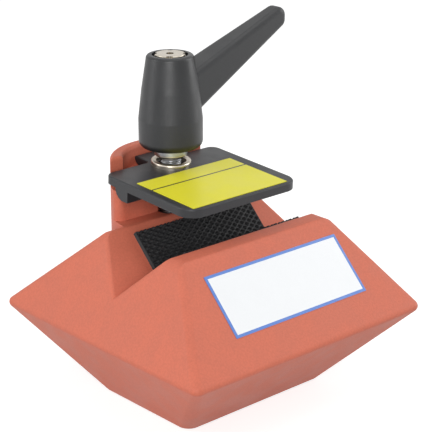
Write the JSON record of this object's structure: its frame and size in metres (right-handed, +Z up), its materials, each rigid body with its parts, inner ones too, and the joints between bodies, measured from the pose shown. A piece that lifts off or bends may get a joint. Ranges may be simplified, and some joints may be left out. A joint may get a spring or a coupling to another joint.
{
  "type": "stage weight",
  "caption": "Cast counterweight with a V groove, rubber pads and a hinged clamp plate that a ratchet lever pulls down on a lighting tube.",
  "frame": {"origin": "centre of the base, on the surface it stands on", "axes": "+X along the groove, towards the lever's arm; +Y towards the post behind the groove; +Z up"},
  "size_m": [0.1173, 0.1127, 0.1397],
  "materials": {
    "powder_coated_iron": "fine rough powder coat, orange red",
    "black_rubber": "matt, diamond knurled",
    "white_label": "satin film with a blue border",
    "zinc_steel": "zinc plated",
    "spring_steel": "bright drawn wire",
    "black_coated_steel": "satin black powder coat",
    "yellow_label": "satin film with a black rule",
    "nickel_steel": "nickel plated",
    "black_nylon": "fine textured glass-filled nylon"
  },
  "bodies": {
    "root": {"weight_casting": "powder_coated_iron", "rear_groove_pad": "black_rubber", "front_groove_pad": "black_rubber", "front_label": "white_label", "clamp_stud": "zinc_steel", "spring_washer": "zinc_steel", "return_spring": "spring_steel"},
    "plate": {"clamp_plate": "black_coated_steel", "plate_label": "yellow_label", "thrust_washer": "nickel_steel"},
    "travel": {"spherical_washer": "nickel_steel"},
    "insert": {"threaded_insert": "nickel_steel", "retaining_screw": "nickel_steel", "ratchet_spring": "spring_steel"},
    "handle": {"lever_handle": "black_nylon"}
  },
  "joints": [
    {"name": "clamp_tilt", "type": "hinge", "parent": "root", "child": "plate", "pos_m": [0, 0.0365, 0.0859], "axis": [-1, 0, 0], "range_deg": [-7.1, 22], "deforming": ["return_spring"]},
    {"name": "screw_travel", "type": "slide", "parent": "root", "child": "travel", "axis": [0, 0, 1], "range_m": [-0.00191, 0.00593]},
    {"name": "lever_turn", "type": "hinge", "parent": "travel", "child": "insert", "pos_m": [0, 0.0242, 0.09], "axis": [0, 0, 1], "range_deg": [-551, 1709]},
    {"name": "handle_lift", "type": "slide", "parent": "insert", "child": "handle", "axis": [0, 0, 1], "range_m": [0, 0.005], "stiffness_N_per_m": 800, "springref_m": -0.004, "deforming": ["ratchet_spring"]}
  ],
  "couplings": [
    {"joint": "clamp_tilt", "follows": "screw_travel", "rad_per_m": 64.641},
    {"joint": "lever_turn", "follows": "screw_travel", "rad_per_m": 5026.5}
  ]
}
